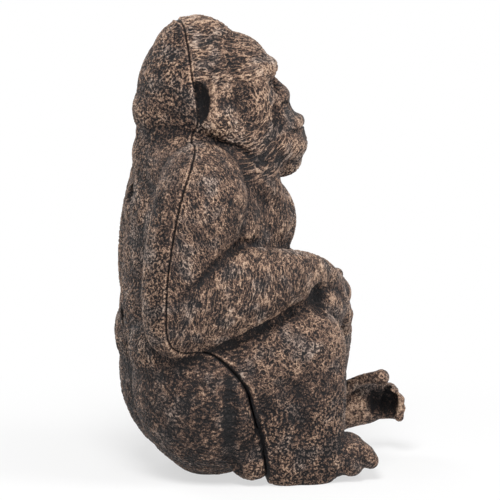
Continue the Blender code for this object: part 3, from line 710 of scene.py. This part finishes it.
def group(name):
    tree = bpy.data.node_groups.new(name, "GeometryNodeTree")
    tree.interface.new_socket("Geometry", in_out="INPUT", socket_type="NodeSocketGeometry")
    tree.interface.new_socket("Geometry", in_out="OUTPUT", socket_type="NodeSocketGeometry")
    return tree, tree.nodes.new("NodeGroupInput").outputs[0]


def keep(tree, shape, name, value, kind="FLOAT"):
    """Writes a value on each point of a shape."""
    node = tree.nodes.new("GeometryNodeStoreNamedAttribute")
    node.data_type, node.domain = kind, "POINT"
    node.inputs["Name"].default_value = name
    tree.links.new(shape, node.inputs["Geometry"])
    tree.links.new(value, node.inputs["Value"])
    return node.outputs[0]


def placed(tree, spot):
    """A spot counted in millimetres."""
    return step(tree, "ShaderNodeVectorMath", spot, (1 / MM,) * 3, operation="MULTIPLY")


# how far each point of the clay stands out from its surroundings, near and wide
tree, shape = group("standing_out")
place = step(tree, "GeometryNodeInputPosition")
normal = step(tree, "GeometryNodeInputNormal")
for name, rounds, span in (("crest", 40, 0.35), ("rise", 250, 1.6)):
    blurred = step(tree, "GeometryNodeBlurAttribute", data_type="FLOAT_VECTOR")
    blur = blurred.node
    vectors = [s for s in blur.inputs if s.type == "VECTOR"]
    tree.links.new(place, vectors[0])
    blur.inputs["Iterations"].default_value = rounds
    out = [s for s in blur.outputs if s.type == "VECTOR"][0]
    apart = step(tree, "ShaderNodeVectorMath", place, out, operation="SUBTRACT")
    along = step(tree, "ShaderNodeVectorMath", apart, normal, operation="DOT_PRODUCT", out=1)
    shape = keep(tree, shape, name, reckon(tree, "DIVIDE", along, span * MM))
tree.links.new(shape, tree.nodes.new("NodeGroupOutput").inputs[0])
work(figure, "NODES", node_group=tree)

# a block that ends at the parting line, which the seam's distance is taken from
sheet = mould("sheet", 1, 0)


def worked_coat(name, proud, sunk):
    """The relief of one casting. Its edge on the leg stands proud, or is sunk, by so much."""
    tree, shape = group(name)
    place = placed(tree, step(tree, "GeometryNodeInputPosition"))
    up = step(tree, "ShaderNodeSeparateXYZ", place, out=2)
    height, tall, bare, at_leg, painted_light_and_shade = coat(tree, place)

    def seen(obj):
        node = tree.nodes.new("GeometryNodeObjectInfo")
        node.inputs["Object"].default_value = obj
        return node.outputs["Geometry"]

    def away_from(obj):
        node = tree.nodes.new("GeometryNodeProximity")
        node.target_element = "FACES"
        tree.links.new(seen(obj), node.inputs[0])
        return reckon(tree, "DIVIDE", node.outputs["Distance"], MM)

    def taken(obj, kind, value):
        """A value of the nearest point of another object."""
        node = tree.nodes.new("GeometryNodeSampleNearestSurface")
        node.data_type = kind
        tree.links.new(seen(obj), node.inputs[0])
        fed = "VECTOR" if kind == "FLOAT_VECTOR" else "VALUE"
        tree.links.new(value, [s for s in node.inputs if s.type == fed and s.enabled][0])
        return [s for s in node.outputs if s.enabled][0]

    def named(label):
        node = tree.nodes.new("GeometryNodeInputNamedAttribute")
        node.data_type = "FLOAT"
        node.inputs["Name"].default_value = label
        return node.outputs[0]

    outer = ramp(tree, away_from(figure), 0.3, 0.05)
    outward = taken(figure, "FLOAT_VECTOR", step(tree, "GeometryNodeInputNormal"))
    seam = away_from(sheet)
    within = reckon(tree, "DIVIDE", seam, over(tree, at_leg, 0.9, 1.6))
    groove = times(tree, ramp(tree, within, 1.0, 0.1), over(tree, at_leg, 0.6, 1.8))
    lip = times(tree, ramp(tree, within, 1.0, 1.7), ramp(tree, within, 3.4, 1.9))
    lip = times(tree, lip, over(tree, at_leg, 0.6, 0.3 + proud))
    low_leg = times(tree, ramp(tree, up, 82, 66), at_leg)
    groove = reckon(tree, "ADD", groove, times(tree, ramp(tree, seam, 8, 0.5), low_leg, sunk))
    hairs = times(tree, reckon(tree, "SUBTRACT", height, 0.6), tall, ramp(tree, within, 0.7, 1.5))
    moved = reckon(tree, "SUBTRACT", reckon(tree, "ADD", hairs, lip), groove)
    moved = times(tree, moved, outer, ramp(tree, up, 0.3, 2.0), MM)
    offset = step(tree, "ShaderNodeVectorMath", outward, None, None, moved, operation="SCALE")
    shape = keep(tree, shape, "laid", place, "FLOAT_VECTOR")
    shape = keep(tree, shape, "outer", outer)
    shape = keep(tree, shape, "crest", times(tree, taken(figure, "FLOAT", named("crest")), outer))
    shape = keep(tree, shape, "rise", times(tree, taken(figure, "FLOAT", named("rise")), outer))
    shape = keep(tree, shape, "seam", seam)
    node = tree.nodes.new("GeometryNodeSetPosition")
    tree.links.new(shape, node.inputs["Geometry"])
    tree.links.new(offset, node.inputs["Offset"])
    tree.links.new(node.outputs[0], tree.nodes.new("NodeGroupOutput").inputs[0])
    return tree


MOST_TRIANGLES = 190000
for name, proud, sunk in (("front_casting", 0.5, 0), ("back_casting", 0, 1.8)):
    half = castings[name]
    work(half, "NODES", node_group=worked_coat(name + "_coat", proud, sunk))
    work(half, "DECIMATE", ratio=min(1, MOST_TRIANGLES / (2 * len(half.data.polygons))))
    hand(half)
    bpy.ops.object.shade_smooth()

# The finish: a near-black undercoat over the iron, a brown coat, and copper paint rubbed on by
# hand, so that it holds on the hairs, the lips of the seam and the bare skin, and leaves every
# hollow dark. It dries to a dull sheen. Light and shade are painted into the colour as well:
# painted shade in the hollows, low down, in the seam's gap and in the pockets behind the ears,
# and painted light higher up and on the crown, forearms, knees and the rims before the ears.


def painted(tree, value, *stops):
    """The colour that stands at a value, between stops of (value, colour)."""
    node = tree.nodes.new("ShaderNodeValToRGB")
    tree.links.new(value, node.inputs[0])
    while len(node.color_ramp.elements) < len(stops):
        node.color_ramp.elements.new(0.5)
    for element, (at, colour) in zip(node.color_ramp.elements, stops):
        element.position = at
        element.color = (*colour, 1)
    return node.outputs[0]


def bronzed(name, wear):
    """The finish of one casting. The more wear, the more copper."""
    finish = bpy.data.materials.new(name)
    finish.use_nodes = True
    tree = finish.node_tree
    surface = tree.nodes["Principled BSDF"]

    def kept(label, out="Fac"):
        """A value that the coat wrote on the casting."""
        node = tree.nodes.new("ShaderNodeAttribute")
        node.attribute_name = label
        return node.outputs[out]

    place = kept("laid", "Vector")
    height, tall, bare, at_leg, painted_light_and_shade = coat(tree, place)

    def flecks(size, detail, rough=0.6):
        return step(tree, "ShaderNodeTexNoise", place, None, 1 / size, detail, rough)

    fine, specks, patches, warmth = flecks(0.55, 1), flecks(1.1, 2), flecks(9, 3), flecks(16, 2, 0.5)
    outer, crest, rise, seam = [kept(label) for label in ("outer", "crest", "rise", "seam")]
    crest, rise = [step(tree, "ShaderNodeMapRange", value, -2, 2, -2, 2) for value in (crest, rise)]
    within = reckon(tree, "DIVIDE", seam, over(tree, at_leg, 0.5, 1.2))
    # darker along the seam: its dark joint, and painted shade in its gap
    crack = times(tree, ramp(tree, within, 1.3, 0.5), over(tree, at_leg, 0.6, 1))
    lip = times(tree, ramp(tree, within, 1.2, 2.0), ramp(tree, within, 4.0, 2.4))
    combed = ramp(tree, tall, 0.75, 0.9)
    # lighter towards the top, as painted light from above
    up = ramp(tree, step(tree, "ShaderNodeSeparateXYZ", place, out=2), 0, 250)

    # how much copper was rubbed on, with painted light and shade mixed in: each value counts from its
    # middle, by its weight. crest and rise lighten what stands out and darken the hollows, partly as the
    # rubbed copper and partly as painted shade; crack darkens the seam as its dark joint and as painted
    # shade in its gap; outer paints every face away from the outer skin, such as the pocket behind the
    # ear, black as painted shade; up makes the colour lighter towards the top as painted light; the last
    # value is the painted light and shade of the coat.
    rub_with_painted_light = wear
    for value, middle, weight in (
        (height, 0.5, over(tree, combed, 0.55, 0.6)), (fine, 0.5, 0.7), (specks, 0.5, 0.9),
        (patches, 0.5, over(tree, combed, 1.1, 0.5)), (crest, 0, 0.06), (rise, 0, 0.05), (bare, 0, 0.09),
        (lip, 0, 0.20), (crack, 0, -0.5), (outer, 1, 0.4), (up, 0.5, 0.06), (painted_light_and_shade, 0, 0.16),
    ):
        rub_with_painted_light = reckon(tree, "MULTIPLY_ADD", reckon(tree, "SUBTRACT", value, middle), weight, rub_with_painted_light)
    copper = painted(
        tree, rub_with_painted_light, (0.0, (0.006, 0.005, 0.006)), (0.2, (0.015, 0.011, 0.010)), (0.4, (0.072, 0.042, 0.032)),
        (0.6, (0.205, 0.123, 0.086)), (0.8, (0.40, 0.265, 0.180)), (1.0, (0.60, 0.42, 0.30)),
    )
    greyed = painted(
        tree, rub_with_painted_light, (0.0, (0.006, 0.006, 0.007)), (0.2, (0.015, 0.014, 0.015)), (0.4, (0.066, 0.049, 0.044)),
        (0.6, (0.180, 0.130, 0.108)), (0.8, (0.37, 0.28, 0.225)), (1.0, (0.57, 0.45, 0.37)),
    )
    mixed = step(tree, "ShaderNodeMix", ramp(tree, warmth, 0.32, 0.52), data_type="RGBA", out=2)
    tree.links.new(greyed, mixed.node.inputs[6])
    tree.links.new(copper, mixed.node.inputs[7])
    tree.links.new(mixed, surface.inputs["Base Color"])
    surface.inputs["Metallic"].default_value = 0.25
    surface.inputs["Specular IOR Level"].default_value = 0.35
    tree.links.new(ramp(tree, rub_with_painted_light, 0.2, 0.9, 0.62, 0.45), surface.inputs["Roughness"])
    relief = times(tree, reckon(tree, "SUBTRACT", height, 0.5), tall)
    relief = reckon(tree, "MULTIPLY_ADD", relief, 0.6, times(tree, fine, 0.4))
    relief = reckon(tree, "MULTIPLY_ADD", specks, 0.7, relief)
    bump = tree.nodes.new("ShaderNodeBump")
    bump.inputs["Strength"].default_value = 1
    bump.inputs["Distance"].default_value = MM
    tree.links.new(relief, bump.inputs["Height"])
    tree.links.new(bump.outputs[0], surface.inputs["Normal"])
    return finish


for name, wear in (("front_casting", 0.305), ("back_casting", 0.275)):
    half = castings[name]
    half.data.materials.clear()
    half.data.materials.append(bronzed(name + "_bronzed", wear))
    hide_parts(name)
    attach(half, "root")

# The screws: two slotted countersunk machine screws, turned from steel and painted over with the
# castings, so that only the slots' edges show metal. Their shapes are the frame's own.
steel = bpy.data.materials.new("painted_steel")
steel.use_nodes = True
tree = steel.node_tree
surface = tree.nodes["Principled BSDF"]
place = placed(tree, step(tree, "ShaderNodeTexCoord", out=3))
scuff = step(tree, "ShaderNodeTexNoise", place, None, 1.6, 3, 0.6)
colour = painted(tree, scuff, (0.42, (0.02, 0.016, 0.014)), (0.68, (0.20, 0.12, 0.08)))
tree.links.new(colour, surface.inputs["Base Color"])
surface.inputs["Metallic"].default_value = 0.7
tree.links.new(ramp(tree, scuff, 0.3, 0.7, 0.5, 0.35), surface.inputs["Roughness"])
for name in ("upper_screw", "lower_screw"):
    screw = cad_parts[name]
    for slot in screw.material_slots:
        slot.material = steel

# The tools and the clay are put away.
for obj in (figure, sheet, pellet):
    bpy.data.objects.remove(obj)

# The floor: a wide sheet of pale paper that fades into white away from the figure, as in a picture
# for a catalogue. The figure stands on it and gives it a soft shadow.


def watched(tree):
    """1 for the rays that show a thing to the camera, and 0 for those that only carry its light."""
    rays = tree.nodes.new("ShaderNodeLightPath")
    return most(tree, *[rays.outputs[f"Is {kind} Ray"] for kind in ("Camera", "Glossy", "Transmission")])


bpy.ops.object.select_all(action="DESELECT")
bpy.ops.mesh.primitive_plane_add(size=40, location=(0, 0, 0))
floor = bpy.context.object
floor.name = "floor"
paper = bpy.data.materials.new("white_paper")
paper.use_nodes = True
tree = paper.node_tree
tree.nodes.clear()
matt = step(tree, "ShaderNodeBsdfDiffuse", (0.86, 0.86, 0.86, 1))
glow = step(tree, "ShaderNodeEmission", (1, 1, 1, 1), 1)
length = tree.nodes.new("ShaderNodeVectorMath")
length.operation = "LENGTH"
tree.links.new(step(tree, "ShaderNodeTexCoord", out=3), length.inputs[0])
fade = ramp(tree, length.outputs["Value"], 0.12, 0.34, 0.62, 1)
mixed = step(tree, "ShaderNodeMixShader", times(tree, watched(tree), fade), matt, glow)
tree.links.new(mixed, tree.nodes.new("ShaderNodeOutputMaterial").inputs[0])
floor.data.materials.append(paper)
floor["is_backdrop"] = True

# The light: a white room with a soft lamp high on the camera's side, a weaker one to the right and the
# weakest behind the figure, on the left. Each is a square panel, aimed at the figure's middle.
ROOM = 0.32
PANEL = 0.6
MIDDLE = Vector((0, 0, 0.14))
world = bpy.data.worlds.new("white_room")
bpy.context.scene.world = world
world.use_nodes = True
tree = world.node_tree
sky = tree.nodes["Background"]
sky.inputs["Color"].default_value = (1, 1, 1, 1)
tree.links.new(step(tree, "ShaderNodeMapRange", watched(tree), 0, 1, ROOM, 1), sky.inputs["Strength"])


def lamp(place, power):
    bpy.ops.object.light_add(type="AREA", location=place)
    light = bpy.context.object
    light.data.size = PANEL
    light.data.energy = power
    light.rotation_euler = (MIDDLE - Vector(place)).to_track_quat("-Z", "Y").to_euler()


lamp((-0.9, 0.3, 1.25), 18)
lamp((-0.7, -0.9, 0.8), 8)
lamp((0.9, 0.6, 0.9), 4)

# The camera: on the figure's right side, a little behind it and above, and 5 m away, so that the
# long lens keeps it almost square. One pixel of the photograph covers 0.63 mm at the figure.
yaw, tilt, away = math.radians(12), math.radians(10), 5
pixel, wide, sensor = 0.000629, 500, 36
middle_right, middle_up, behind = 15, 219, 0.022
ahead = Vector((math.cos(yaw) * math.cos(tilt), -math.sin(yaw) * math.cos(tilt), -math.sin(tilt)))
right = Vector((-math.sin(yaw), -math.cos(yaw), 0))
up = right.cross(ahead)
target = right * middle_right * pixel + up * middle_up * pixel + Vector((0, behind, 0))
bpy.ops.object.camera_add(location=target - ahead * away)
camera = bpy.context.object
camera.rotation_euler = ahead.to_track_quat("-Z", "Y").to_euler()
camera.data.sensor_width = sensor
camera.data.lens = sensor * away / (wide * pixel)
bpy.context.scene.camera = camera
bpy.context.scene.view_settings.view_transform = "Standard"

low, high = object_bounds()
